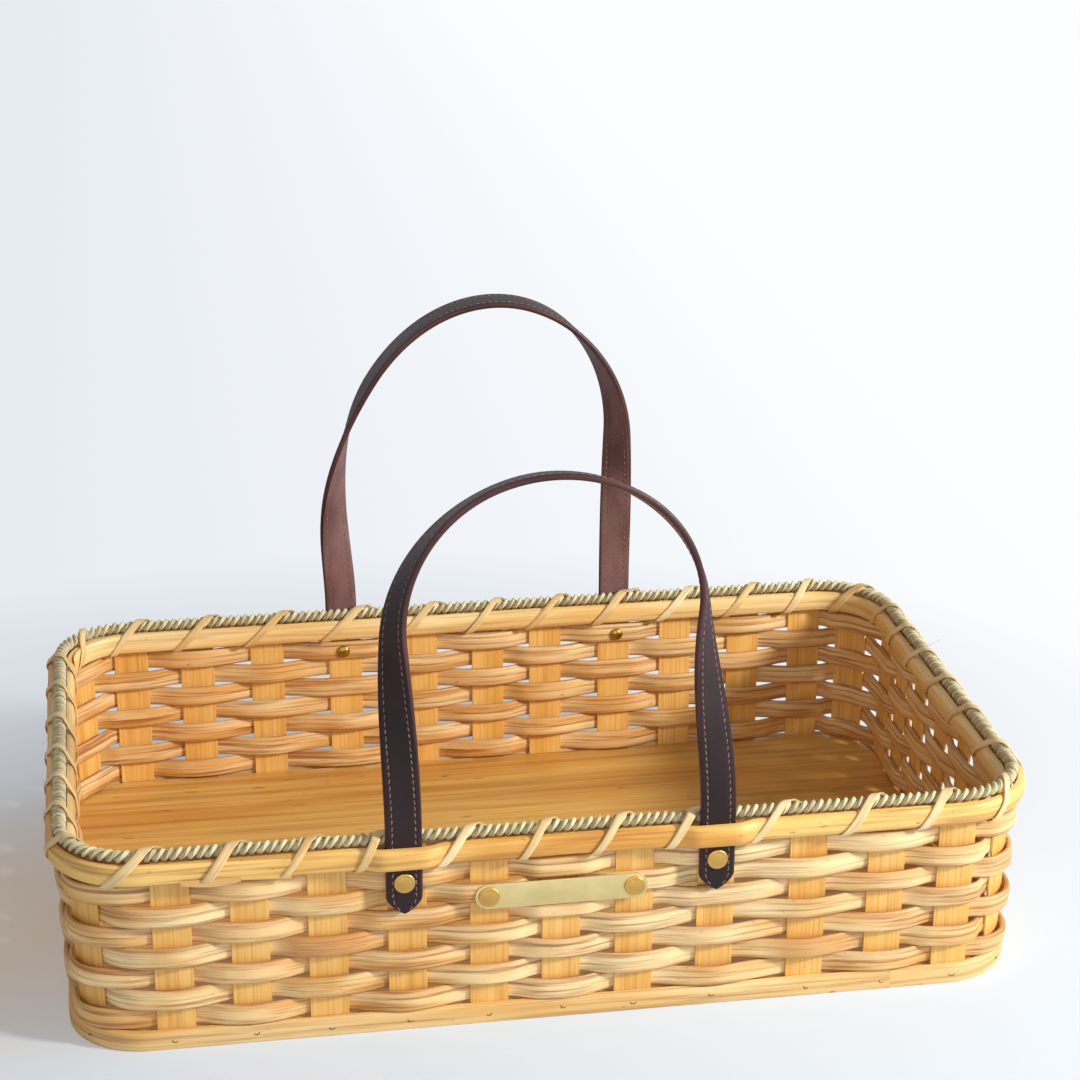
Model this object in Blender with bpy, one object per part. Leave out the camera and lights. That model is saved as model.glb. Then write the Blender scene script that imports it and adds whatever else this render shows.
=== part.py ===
"""Flower gathering basket: a ply base, nailed stakes, level weaver rows, a lashed rim and two strap handles.

Metres. X runs along the basket, Y from front to back, Z up. The origin is under the middle of the base.
Places round the wall are given by u, the distance along the wall's centre line at the base, counted
from the left end of the straight front wall and anticlockwise seen from above.
"""
import math

import bmesh
import bpy
from mathutils import Vector

# Wall: its centre line at the base, and how far it leans out from the base to the top of the rim
HALF_LENGTH = 0.270
HALF_DEPTH = 0.161
CORNER_RADIUS = 0.040
WALL_FLARE = 0.003
CORNER_STEPS = 8
SEAT_GAP = 0.0003

# Base: a plywood board with the stakes nailed round its edge under a wooden band
BOARD_THICKNESS = 0.011
BASE_BAND_HEIGHT = 0.012
BASE_BAND_THICKNESS = 0.0035
BASE_BAND_ROUNDING = 0.0015

# Stakes: upright strips, 11 front, 6 right, 11 back, 6 left and one round each corner
STAKE_WIDTH = 0.022
STAKE_THICKNESS = 0.0014
STAKE_FOOT_CLEARANCE = 0.0006
FRONT_STAKES = 11
SIDE_STAKES = 6
FIRST_STAKE_SHARE = 0.337
STAKE_PITCH_SHARES = (
    0.980, 0.981, 1.014, 1.058, 0.935, 0.955, 1.075, 1.229, 1.056, 0.940,
    0.804, 1.260, 1.070, 1.037, 1.005, 0.891, 0.818, 0.898, 0.743,
    0.980, 1.086, 0.974, 1.079, 0.900, 1.025, 1.169, 1.188, 1.061, 0.983,
    0.819, 0.919, 1.173, 1.103, 0.962, 0.861, 0.862, 0.962, 1.148,
)

# Weaver rows: level rings, each over one stake and under the next, row 1 at the top
ROW_COUNT = 7
ROW_HEIGHT = 0.01245
ROW_SPACING = 0.00055
WEAVER_THICKNESS = 0.0032
WEAVER_EDGE_MARGIN = 0.001

# Rim: two half-round bands over a filler row, with a rope between them
RIM_BAND_HEIGHT = 0.0134
RIM_BAND_THICKNESS = 0.0045
RIM_BAND_SHOULDER = 0.0035
RIM_BAND_FLANK_SHARE = 0.667
RIM_BAND_EDGE_SHARE = 0.2
ROPE_DIAMETER = 0.0072
ROPE_LIFT = 0.0028
ROPE_SIDES = 7

# Lashing: flat cane, one loop in each gap between stakes
LASHING_WIDTH = 0.0045
LASHING_THICKNESS = 0.0009
LASHING_CLEARANCE = 0.00035
LASHINGS = 2
LASHING_FOOT_SHARE = 0.4
LASHING_SLOT_SHARE = 1.4
LASHING_SLANT_SHARE = 1.5
LASHING_ADVANCE_SHARES = (
    0.0, 0.02, 0.05, 0.10, 0.20, 0.25, 0.31, 0.38,
    0.45, 0.52, 0.60, 0.80, 0.90, 0.96,
)
LASHING_ROPE_SIDE = 6
LASHING_STRAP_CLEARANCE = 0.0035
ROPE_CREST_ANGLE = math.radians(45)

# Handles: flat leather straps, each riveted at both ends
STRAP_WIDTH = 0.0205
STRAP_THICKNESS = 0.0034
STRAP_SIDE_CLEARANCE = 0.002
STRAP_RAMP = 0.012
TAB_TIP_DROP = 0.0277
TAB_TIP_WIDTH = 0.003
TAB_SHOULDER_DROP = 0.0165
TAB_RIVET_DROP = 0.0085
TAB_EAVES = 0.001
TAB_RIDGE_SHARE = 0.1
HINGE_RISE = 0.0069
LEG_STEPS = 8
ARCH_STEPS = 9
END_ROUND_STEPS = 3
END_ROUND_START_SHARE = 0.25
LEFT_STRAP_STAKE = 4
RIGHT_STRAP_STAKE = 8
STRAP_SHIFTS = (-0.0020, -0.0013, 0.0015, -0.0013)

# Each handle's loop: left and right legs, then the crown. The rear one leans to the right
FRONT_LEG_SWAYS = (-0.0036, -0.0107)
FRONT_SPRING_HEIGHTS = (0.2392, 0.2479)
FRONT_TWIST_LENGTHS = (0.2216, 0.2050)
FRONT_CROWN_SHIFT = -0.0050
FRONT_CROWN_HEIGHT = 0.3292
FRONT_CROWN_TWIST = math.radians(104)
REAR_LEG_SWAYS = (-0.0030, 0.0010)
REAR_SPRING_HEIGHTS = (0.1847, 0.2348)
REAR_TWIST_LENGTHS = (0.1603, 0.2323)
REAR_CROWN_SHIFT = 0.0115
REAR_CROWN_HEIGHT = 0.3303
REAR_CROWN_TWIST = math.radians(93)

# Rivets and the bare label plate
RIVET_CAP_DIAMETER = 0.012
RIVET_CAP_HEIGHT = 0.0018
RIVET_POST_DIAMETER = 0.0036
RIVET_HOLE_CLEARANCE = 0.0003
RIVET_NUT_DIAMETER = 0.0084
RIVET_NUT_HEIGHT = 0.0025
RIVET_SIDES = 12
CROWNED_TOP_SHARE = 0.55
CAP_SUNK_SHARE = 0.2
CAP_RIM_SHARE = 0.333
PLATE_HEIGHT = 0.0155
PLATE_THICKNESS = 0.0008
PLATE_DROP = 0.0227
PLATE_RIVET_SHIFT = -0.0008
PLATE_ROUND_STEPS = 6
PLATE_LEFT_STAKE = 5
PLATE_RIGHT_STAKE = 7

CUT_OVERRUN = 0.002

# Sizes that follow from the ones above
QUARTER = math.pi / 2
STRAIGHT_X = 2 * (HALF_LENGTH - CORNER_RADIUS)
STRAIGHT_Y = 2 * (HALF_DEPTH - CORNER_RADIUS)
SIDE_RUNS = (STRAIGHT_X, STRAIGHT_Y, STRAIGHT_X, STRAIGHT_Y)
CORNER_RUN = CORNER_RADIUS * QUARTER
PERIMETER = sum(SIDE_RUNS) + len(SIDE_RUNS) * CORNER_RUN
STAKE_COUNT = len(STAKE_PITCH_SHARES)
MEAN_PITCH = PERIMETER / sum(STAKE_PITCH_SHARES)
WEAVER_SEAT = STAKE_THICKNESS / 2 + SEAT_GAP
WEAVER_REACH = WEAVER_SEAT + WEAVER_THICKNESS
ROW_PITCH = ROW_HEIGHT + ROW_SPACING
ROWS_BOTTOM = max(BASE_BAND_HEIGHT, BOARD_THICKNESS) + SEAT_GAP
ROWS_TOP = ROWS_BOTTOM + ROW_COUNT * ROW_PITCH - ROW_SPACING
RIM_BOTTOM = ROWS_TOP + LASHING_THICKNESS + 2 * LASHING_CLEARANCE
RIM_TOP = RIM_BOTTOM + RIM_BAND_HEIGHT
BAND_SEAT = ROPE_DIAMETER / 2 + SEAT_GAP
FILLER_THICKNESS = BAND_SEAT - SEAT_GAP - WEAVER_SEAT
ROPE_HEIGHT = RIM_TOP + ROPE_LIFT
STAKE_TOP = ROPE_HEIGHT - ROPE_DIAMETER / 2 - SEAT_GAP
ROPE_CREST = ROPE_HEIGHT + ROPE_DIAMETER / 2
STRAP_SEAT = WEAVER_REACH + SEAT_GAP
STRAP_CENTRE = STRAP_SEAT + STRAP_THICKNESS / 2
BAND_BULGE = STRAP_SEAT + STRAP_THICKNESS + SEAT_GAP - BAND_SEAT
HINGE_HEIGHT = RIM_TOP + HINGE_RISE
LEAN = WALL_FLARE / RIM_TOP
FRONT_LOOP = (FRONT_LEG_SWAYS, FRONT_SPRING_HEIGHTS, FRONT_TWIST_LENGTHS,
              FRONT_CROWN_SHIFT, FRONT_CROWN_HEIGHT, FRONT_CROWN_TWIST)
REAR_LOOP = (REAR_LEG_SWAYS, REAR_SPRING_HEIGHTS, REAR_TWIST_LENGTHS,
             REAR_CROWN_SHIFT, REAR_CROWN_HEIGHT, REAR_CROWN_TWIST)


def clear_scene():
    for old in list(bpy.data.objects):
        bpy.data.objects.remove(old, do_unlink=True)


def material(name, colour, roughness, metallic=0.0):
    made = bpy.data.materials.new(name)
    made.use_nodes = True
    surface = made.node_tree.nodes["Principled BSDF"]
    surface.inputs["Base Color"].default_value = (*colour, 1.0)
    surface.inputs["Roughness"].default_value = roughness
    surface.inputs["Metallic"].default_value = metallic
    made.diffuse_color = (*colour, 1.0)
    return made


def station(u):
    """The point of the base centre line at u, and the direction straight out of the wall there."""
    left = u % PERIMETER
    side = 0
    while left > SIDE_RUNS[side] + CORNER_RUN and side + 1 < len(SIDE_RUNS):
        left -= SIDE_RUNS[side] + CORNER_RUN
        side += 1
    run = SIDE_RUNS[side]
    facing = (side - 1) * QUARTER
    out = Vector((math.cos(facing), math.sin(facing)))
    along = Vector((-out.y, out.x))
    depth = (STRAIGHT_X + STRAIGHT_Y - run) / 2
    if left <= run:
        return along * (left - run / 2) + out * (depth + CORNER_RADIUS), out
    bend = facing + (left - run) / CORNER_RADIUS
    swept = Vector((math.cos(bend), math.sin(bend)))
    return along * (run / 2) + out * depth + swept * CORNER_RADIUS, swept


def wall_point(u, offset, height):
    """A point at a distance outside the wall's leaning centre surface."""
    base, out = station(u)
    flat = base + out * (offset + LEAN * height)
    return Vector((flat.x, flat.y, height))


def corner_stops():
    """The places round the wall where the corners bend."""
    stops = []
    start = 0.0
    for run in SIDE_RUNS:
        start += run
        stops += [start + CORNER_RUN * i / CORNER_STEPS for i in range(CORNER_STEPS + 1)]
        start += CORNER_RUN
    return stops


def stops_between(start, end):
    """start, the corner bends between, and end. Either may pass the wall's starting point."""
    inner = [stop + turn * PERIMETER for turn in (-1, 0, 1) for stop in corner_stops()]
    return [start] + sorted(stop for stop in inner if start + SEAT_GAP < stop < end - SEAT_GAP) + [end]


def stake_places():
    """The middle of each stake, from the left end of the front wall round to it again."""
    places = [FIRST_STAKE_SHARE * MEAN_PITCH]
    for share in STAKE_PITCH_SHARES[:-1]:
        places.append(places[-1] + share * MEAN_PITCH)
    return places


def stake_names():
    """Front, right, back and left stakes are numbered round the wall, with a corner stake between."""
    names = []
    walls = (("front", FRONT_STAKES), ("right", SIDE_STAKES), ("back", FRONT_STAKES), ("left", SIDE_STAKES))
    for wall, count in walls:
        names += [f"stake_{wall}_{number:02d}" for number in range(1, count + 1)]
        names.append(f"stake_corner_after_{wall}")
    return names


def front_stake(number):
    return number - 1


def back_stake(number):
    """A back stake counted from the left, as the front ones are."""
    return 2 * FRONT_STAKES + SIDE_STAKES + 2 - number


def row_side(row, index):
    """1 where a row passes outside a stake and -1 where it passes inside. The rim filler is row 0."""
    return 1 if (row + index) % 2 == 0 else -1


def row_span(row):
    """The lowest and highest edge of a weaver row."""
    bottom = ROWS_BOTTOM + (ROW_COUNT - row) * ROW_PITCH
    return bottom, bottom + ROW_HEIGHT


def rows_beside(low, high):
    return [row for row in range(1, ROW_COUNT + 1)
            if row_span(row)[0] < high + SEAT_GAP and low - SEAT_GAP < row_span(row)[1]]


def finish_object(name, shape, surface, smooth_angle=None):
    mesh = bpy.data.meshes.new(name)
    bmesh.ops.recalc_face_normals(shape, faces=shape.faces)
    shape.to_mesh(mesh)
    shape.free()
    if smooth_angle is not None:
        mesh.shade_smooth()
        mesh.set_sharp_from_angle(angle=smooth_angle)
    mesh.materials.append(surface)
    made = bpy.data.objects.new(name, mesh)
    bpy.context.collection.objects.link(made)
    return made


def loft(name, sections, surface, ring=False, smooth_angle=None):
    """One closed body through sections with the same number of points: a ring, or a strip with flat ends."""
    shape = bmesh.new()
    loops = [[shape.verts.new(point) for point in section] for section in sections]
    spans = list(zip(loops, loops[1:]))
    if ring:
        spans.append((loops[-1], loops[0]))
    else:
        shape.faces.new(loops[0])
        shape.faces.new(loops[-1])
    for near, far in spans:
        for i in range(len(near)):
            j = (i + 1) % len(near)
            shape.faces.new((near[i], near[j], far[j], far[i]))
    return finish_object(name, shape, surface, smooth_angle)


def as_tool(made):
    made.hide_render = True
    made.display_type = "WIRE"
    return made


def combine(target, tool, operation):
    step = target.modifiers.new(tool.name, "BOOLEAN")
    step.operation = operation
    step.solver = "EXACT"
    step.object = as_tool(tool)


def turned(name, u, height, profile, surface):
    """A body turned about the line straight out of the wall at u. The profile is (offset, radius) pairs."""
    angles = [2 * math.pi * i / RIVET_SIDES for i in range(RIVET_SIDES)]
    sections = []
    for offset, radius in profile:
        sections.append([wall_point(u + radius * math.cos(a), offset, height + radius * math.sin(a))
                         for a in angles])
    return loft(name, sections, surface, smooth_angle=QUARTER / 2)


def build_base(board_wood, band_wood):
    stops = stops_between(0, PERIMETER)[:-1]
    outline = [wall_point(u, -WEAVER_SEAT, 0) for u in stops]
    lifted = [point + Vector((0, 0, BOARD_THICKNESS)) for point in outline]
    loft("base_board", [outline, lifted], board_wood)
    inner = WEAVER_SEAT
    outer = inner + BASE_BAND_THICKNESS
    profile = [(inner, 0), (outer, 0), (outer, BASE_BAND_HEIGHT - BASE_BAND_ROUNDING),
               (outer - BASE_BAND_ROUNDING, BASE_BAND_HEIGHT), (inner, BASE_BAND_HEIGHT)]
    sections = [[wall_point(u, offset, height) for offset, height in profile] for u in stops]
    loft("base_band", sections, band_wood, ring=True)


def build_stakes(surface):
    stakes = []
    half = STAKE_THICKNESS / 2
    foot, top = STAKE_FOOT_CLEARANCE, STAKE_TOP
    corners = [(-half, foot), (half, foot), (half, top), (-half, top)]
    for name, middle in zip(stake_names(), stake_places()):
        stops = stops_between(middle - STAKE_WIDTH / 2, middle + STAKE_WIDTH / 2)
        sections = [[wall_point(u, offset, height) for offset, height in corners] for u in stops]
        stakes.append(loft(name, sections, surface))
    return stakes


def woven_ring(name, row, low, high, thickness, surface):
    """A ring that passes outside one stake and inside the next, crossing the wall in the gap between."""
    swing = WEAVER_SEAT + thickness / 2
    half = STAKE_WIDTH / 2 + WEAVER_EDGE_MARGIN
    places = stake_places()
    sections = []
    for index, middle in enumerate(places):
        side = row_side(row, index)
        held_end = middle + half
        next_start = places[(index + 1) % STAKE_COUNT] - half
        if next_start < held_end:
            next_start += PERIMETER
        path = [(u, side * swing) for u in stops_between(middle - half, held_end)]
        for u in stops_between(held_end, next_start)[1:-1]:
            crossed = (u - held_end) / (next_start - held_end)
            path.append((u, side * swing * (1 - 2 * crossed)))
        for u, offset in path:
            corners = [(offset - thickness / 2, low), (offset + thickness / 2, low),
                       (offset + thickness / 2, high), (offset - thickness / 2, high)]
            sections.append([wall_point(u, place, height) for place, height in corners])
    return loft(name, sections, surface, ring=True)


def build_rows(surface):
    rows = []
    for row in range(1, ROW_COUNT + 1):
        low, high = row_span(row)
        rows.append(woven_ring(f"weaver_row_{row}", row, low, high, WEAVER_THICKNESS, surface))
    woven_ring("rim_filler_row", 0, RIM_BOTTOM, STAKE_TOP, FILLER_THICKNESS, surface)
    return rows


def strap_places():
    """The middle of each of the four straps round the wall."""
    places = stake_places()
    numbers = (LEFT_STRAP_STAKE, RIGHT_STRAP_STAKE)
    stakes = [pick(number) for pick in (front_stake, back_stake) for number in numbers]
    return [places[stake] + shift for stake, shift in zip(stakes, STRAP_SHIFTS)]


def bulge(u):
    """How far the outer band stands off the wall at u to let a strap pass under it."""
    held = STRAP_WIDTH / 2 + STRAP_SIDE_CLEARANCE
    nearest = min(abs((u - place + PERIMETER / 2) % PERIMETER - PERIMETER / 2) for place in strap_places())
    return BAND_BULGE * min(1.0, max(0.0, (held + STRAP_RAMP - nearest) / STRAP_RAMP))


def band_profile():
    """Half of a round: offset outwards from the wall's middle, and height."""
    face = BAND_SEAT
    shoulder = BAND_SEAT + RIM_BAND_THICKNESS * RIM_BAND_FLANK_SHARE
    belly = BAND_SEAT + RIM_BAND_THICKNESS
    edge = RIM_BAND_SHOULDER * RIM_BAND_EDGE_SHARE
    return [(face, RIM_BOTTOM), (shoulder, RIM_BOTTOM + edge), (belly, RIM_BOTTOM + RIM_BAND_SHOULDER),
            (belly, RIM_TOP - RIM_BAND_SHOULDER), (shoulder, RIM_TOP - edge), (face, RIM_TOP)]


def build_rim(band_wood, rope_fibre):
    held = STRAP_WIDTH / 2 + STRAP_SIDE_CLEARANCE
    ramps = [(place + reach) % PERIMETER for place in strap_places()
             for reach in (-held - STRAP_RAMP, -held, held, held + STRAP_RAMP)]
    plain_stops = stops_between(0, PERIMETER)[:-1]
    profile = band_profile()
    outer = [[wall_point(u, offset + bulge(u), height) for offset, height in profile]
             for u in sorted(plain_stops + ramps)]
    inner = [[wall_point(u, -offset, height) for offset, height in profile] for u in plain_stops]
    loft("outer_rim_band", outer, band_wood, ring=True, smooth_angle=QUARTER / 2)
    loft("inner_rim_band", inner, band_wood, ring=True, smooth_angle=QUARTER / 2)
    radius = ROPE_DIAMETER / 2
    angles = [2 * math.pi * i / ROPE_SIDES for i in range(ROPE_SIDES)]
    rope = [[wall_point(u, radius * math.sin(a), ROPE_HEIGHT + radius * math.cos(a)) for a in angles]
            for u in plain_stops]
    loft("rim_rope", rope, rope_fibre, ring=True, smooth_angle=QUARTER / 2)


def lashing_outline():
    """The closed outline that one loop of cane follows: offset, height, and its share of the straps' bulge.

    It starts under the middle of the wall, goes up outside the bands, over the rope and down inside.
    """
    crest = ROPE_DIAMETER / 2
    side = (crest * math.cos(ROPE_CREST_ANGLE), ROPE_HEIGHT + crest * math.sin(ROPE_CREST_ANGLE), 0)
    climb = [(offset, height, 1) for offset, height in band_profile()[:-1]] + [side]
    fall = [(-offset, height, 0) for offset, height, _ in reversed(climb)]
    return [(0, RIM_BOTTOM, 0)] + climb + [(0, ROPE_CREST, 0)] + fall


def held_back(foot, next_foot):
    """How much of its slant a loop keeps on the outside, so that it passes a strap on the near side."""
    ahead = [place for place in strap_places() if foot < place < next_foot]
    if not ahead:
        return 1.0
    room = ahead[0] - foot - STRAP_WIDTH / 2 - LASHING_STRAP_CLEARANCE
    return min(1.0, room / (LASHING_ADVANCE_SHARES[LASHING_ROPE_SIDE] * (next_foot - foot)))


def lashing_loop(foot, next_foot):
    """One loop of cane, as (u, offset, height, direction away from the bands, bulge share) rows."""
    outline = lashing_outline()
    kept = held_back(foot, next_foot)
    rows = []
    for index, (share, (offset, height, follow)) in enumerate(zip(LASHING_ADVANCE_SHARES, outline)):
        before = outline[index - 1]
        after = outline[(index + 1) % len(outline)]
        away = Vector((after[1] - before[1], before[0] - after[0])).normalized()
        if index <= LASHING_ROPE_SIDE:
            share *= kept
        rows.append((foot + (next_foot - foot) * share, offset, height, away, follow))
    return rows


def lashing_feet():
    """Where the cane passes through the wall, one place in each gap, and once more past the start."""
    places = stake_places()
    feet = []
    for index, place in enumerate(places):
        following = places[(index + 1) % STAKE_COUNT] + (PERIMETER if index + 1 == STAKE_COUNT else 0)
        gap = following - place - STAKE_WIDTH
        spare = max(0.0, gap - LASHING_WIDTH * LASHING_SLOT_SHARE)
        feet.append((place + following) / 2 - spare * LASHING_FOOT_SHARE)
    return feet + [feet[0] + PERIMETER]


def lashing_section(row, ahead):
    """The flat cane across the path: two edges a width apart, each following the rim below it."""
    u, offset, height, away, follow = row
    slant = abs(ahead[0] - u) / math.hypot(ahead[1] - offset, ahead[2] - height)
    reach = LASHING_WIDTH / 2 * math.hypot(1, min(LASHING_SLANT_SHARE, slant))
    points = []
    for edge, lift in ((-1, 0), (1, 0), (1, 1), (-1, 1)):
        clear = LASHING_CLEARANCE + lift * LASHING_THICKNESS
        place = u + edge * reach
        sideways = offset + away.x * clear + follow * bulge(place)
        points.append(wall_point(place, sideways, height + away.y * clear))
    return points


def least_gap(path):
    """The smallest free distance between two loops of one cane, measured on the points of its path."""
    loop = len(LASHING_ADVANCE_SHARES)
    points = [wall_point(*row[:3]) for row in path]
    nearest = min((points[i] - points[j]).length for i in range(len(points))
                  for j in range(i + loop // 2 + 2, len(points)))
    return nearest - LASHING_WIDTH


def build_lashings(cane):
    feet = lashing_feet()
    per_piece = math.ceil(STAKE_COUNT / LASHINGS)
    names = ("rim_lashing_front_right", "rim_lashing_back_left")
    for piece in range(LASHINGS):
        first = piece * per_piece
        path = []
        for index in range(first, min(first + per_piece, STAKE_COUNT)):
            path += lashing_loop(feet[index], feet[index + 1])
        path = path[1:]
        sections = [lashing_section(row, ahead) for row, ahead in zip(path, path[1:])]
        loft(names[piece], sections, cane, smooth_angle=QUARTER / 3)
        print(f"{names[piece]}: least gap to itself {least_gap(path) * 1000:.1f} mm")


def inner_reach(index, low, high):
    """How far inside the wall the stake and the rows inside it reach, between two heights."""
    inside = any(row_side(row, index) < 0 for row in rows_beside(low, high))
    return WEAVER_REACH if inside else STAKE_THICKNESS / 2


def rivet(name, index, u, height, seat, brass):
    """A domed cap outside, a post through stake and weaver, and a nut inside, as one turned body."""
    nut = RIVET_NUT_DIAMETER / 2
    cap = RIVET_CAP_DIAMETER / 2
    post = RIVET_POST_DIAMETER / 2
    nut_face = -inner_reach(index, height - nut, height + nut) - SEAT_GAP
    nut_top = nut_face - RIVET_NUT_HEIGHT
    sunk = seat - RIVET_CAP_HEIGHT * CAP_SUNK_SHARE
    profile = [(nut_top, nut * CROWNED_TOP_SHARE), ((nut_face + nut_top) / 2, nut), (nut_face, nut),
               (nut_face, post), (sunk, post), (sunk, cap), (seat + RIVET_CAP_HEIGHT * CAP_RIM_SHARE, cap),
               (seat + RIVET_CAP_HEIGHT, cap * CROWNED_TOP_SHARE)]
    return turned(name, u, height, profile, brass)


def drill(name, index, u, height, stakes, rows, surface):
    """The hole for a rivet's post, through its stake and every weaver row at its height."""
    radius = RIVET_POST_DIAMETER / 2 + RIVET_HOLE_CLEARANCE
    reach = WEAVER_REACH + CUT_OVERRUN
    targets = [stakes[index]] + [rows[row - 1] for row in rows_beside(height - radius, height + radius)]
    cutter = turned(name, u, height, [(-reach, radius), (reach, radius)], surface)
    for target in targets:
        combine(target, cutter, "DIFFERENCE")


def build_tab(name, index, middle, stakes, rows, leather, brass):
    """The strap's riveted end: a pointed tab under the outer band, up to the fold above the rim."""
    half = STRAP_THICKNESS / 2
    ridge = HINGE_HEIGHT - half - SEAT_GAP
    levels = [(RIM_BOTTOM - TAB_TIP_DROP, TAB_TIP_WIDTH, half),
              (RIM_BOTTOM - TAB_SHOULDER_DROP, STRAP_WIDTH, half),
              (ridge - TAB_EAVES, STRAP_WIDTH, half),
              (ridge, STRAP_WIDTH, half * TAB_RIDGE_SHARE)]
    sections = []
    for height, width, thick in levels:
        sections.append([wall_point(middle + across * width / 2, STRAP_CENTRE + through * thick, height)
                         for across, through in ((-1, -1), (1, -1), (1, 1), (-1, 1))])
    tab = loft(name, sections, leather)
    tab.data.materials.append(brass)
    height = RIM_BOTTOM - TAB_RIVET_DROP
    seat = STRAP_SEAT + STRAP_THICKNESS
    combine(tab, rivet(name + "_rivet_shape", index, middle, height, seat, brass), "UNION")
    drill(name + "_hole", index, middle, height, stakes, rows, brass)


def build_plate(stakes, rows, brass):
    """The bare label plate, with round ends, and its two rivets."""
    places = stake_places()
    numbers = (PLATE_LEFT_STAKE, PLATE_RIGHT_STAKE)
    ends = [places[front_stake(number)] + PLATE_RIVET_SHIFT for number in numbers]
    middle = RIM_BOTTOM - PLATE_DROP
    radius = PLATE_HEIGHT / 2
    outline = []
    for end, facing in ((ends[1], -QUARTER), (ends[0], QUARTER)):
        for step in range(PLATE_ROUND_STEPS + 1):
            angle = facing + 2 * QUARTER * step / PLATE_ROUND_STEPS
            outline.append((end + radius * math.cos(angle), middle + radius * math.sin(angle)))
    faces = [[wall_point(u, offset, height) for u, height in outline]
             for offset in (STRAP_SEAT, STRAP_SEAT + PLATE_THICKNESS)]
    plate = loft("label_plate", faces, brass)
    for number, u in zip(numbers, ends):
        index = front_stake(number)
        seat = STRAP_SEAT + PLATE_THICKNESS
        combine(plate, rivet(f"plate_rivet_shape_{number}", index, u, middle, seat, brass), "UNION")
        drill(f"plate_hole_{number}", index, u, middle, stakes, rows, brass)


def eased(share):
    share = min(1.0, max(0.0, share))
    return share * share * (3 - 2 * share)


def handle_path(half_span, sways, springs, crown_shift, crown):
    """The strap's middle line from the left hinge up, over and down, with its direction at each point."""
    top = Vector((crown_shift, 0, crown - STRAP_THICKNESS / 2))
    halves = []
    for end, sway, spring in zip((-half_span, half_span), sways, springs):
        half = []
        for step in range(LEG_STEPS):
            share = step / LEG_STEPS
            height = HINGE_HEIGHT + (spring - HINGE_HEIGHT) * share
            half.append(Vector((end + sway * eased(share), 0, height)))
        for step in range(ARCH_STEPS):
            angle = QUARTER * step / ARCH_STEPS
            across = crown_shift + (end + sway - crown_shift) * math.cos(angle)
            half.append(Vector((across, 0, spring + (top.z - spring) * math.sin(angle))))
        halves.append(half)
    points = halves[0] + [top] + halves[1][::-1]
    inner = [(after - before).normalized() for before, after in zip(points, points[2:])]
    up = Vector((0, 0, 1))
    return points, [up] + inner + [-up]


def build_handle(name, joint, left, right, loop, leather):
    """The loop of a handle above its fold. It turns about the fold line, where its ends are rounded."""
    sways, springs, twist_lengths, crown_shift, crown, crown_twist = loop
    left_point = wall_point(left, STRAP_CENTRE, HINGE_HEIGHT)
    right_point = wall_point(right, STRAP_CENTRE, HINGE_HEIGHT)
    hinge = (left_point + right_point) / 2
    away = Vector((0, math.copysign(1.0, hinge.y), 0))
    points, tangents = handle_path(abs(right_point.x - left_point.x) / 2, sways, springs, crown_shift, crown)
    half = STRAP_THICKNESS / 2
    travelled = [0.0]
    for near, far in zip(points, points[1:]):
        travelled.append(travelled[-1] + (far - near).length)
    rows = []
    for point, gone, tangent in zip(points, travelled, tangents):
        shares = (gone / twist_lengths[0], (travelled[-1] - gone) / twist_lengths[1])
        twist = crown_twist * eased(min(shares))
        outward = Vector((-tangent.z, 0, tangent.x))
        facing = away * math.cos(twist) + outward * math.sin(twist)
        rows.append((point - Vector((0, 0, HINGE_HEIGHT)), tangent.cross(facing), facing, half))
    ends = []
    for step in range(END_ROUND_STEPS):
        angle = QUARTER * (1 - (step + END_ROUND_START_SHARE) / END_ROUND_STEPS)
        ends.append((half * math.sin(angle), half * math.cos(angle)))
    for at_start in (True, False):
        place, width, facing, _ = rows[0] if at_start else rows[-1]
        caps = [(place - Vector((0, 0, drop)), width, facing, thick) for drop, thick in ends]
        rows = caps + rows if at_start else rows + caps[::-1]
    sections = []
    for place, width, facing, thick in rows:
        sections.append([place + width * across * STRAP_WIDTH / 2 + facing * through * thick
                         for across, through in ((-1, -1), (1, -1), (1, 1), (-1, 1))])
    pivot = bpy.data.objects.new(joint, None)
    bpy.context.collection.objects.link(pivot)
    pivot.location = hinge
    loop = loft(name, sections, leather, smooth_angle=QUARTER / 2)
    loop.parent = pivot
    print(f"{joint}: axis through {tuple(round(value, 5) for value in hinge)}")


def build():
    clear_scene()
    stakes = build_stakes(material("stake_wood", (0.78, 0.50, 0.17), 0.6))
    rows = build_rows(material("weaver_reed", (0.80, 0.58, 0.34), 0.6))
    board_wood = material("board_plywood", (0.66, 0.40, 0.15), 0.5)
    build_base(board_wood, material("base_band_wood", (0.80, 0.56, 0.28), 0.6))
    band_wood = material("rim_band_wood", (0.82, 0.55, 0.22), 0.55)
    build_rim(band_wood, material("rope_fibre", (0.40, 0.37, 0.24), 0.9))
    build_lashings(material("lashing_cane", (0.86, 0.72, 0.48), 0.55))
    leather = material("strap_leather", (0.05, 0.025, 0.03), 0.5)
    brass = material("rivet_brass", (0.62, 0.47, 0.20), 0.35, 1.0)
    build_plate(stakes, rows, material("plate_brass", (0.80, 0.72, 0.42), 0.35, 1.0))
    straps = strap_places()
    handles = (("front", front_stake, straps[:2], FRONT_LOOP), ("rear", back_stake, straps[2:], REAR_LOOP))
    for wall, pick, (left, right), loop in handles:
        left_stake, right_stake = pick(LEFT_STRAP_STAKE), pick(RIGHT_STRAP_STAKE)
        build_tab(f"{wall}_strap_tab_left", left_stake, left, stakes, rows, leather, brass)
        build_tab(f"{wall}_strap_tab_right", right_stake, right, stakes, rows, leather, brass)
        build_handle(f"{wall}_handle_strap", f"{wall}_handle_fold", left, right, loop, leather)


build()
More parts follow.
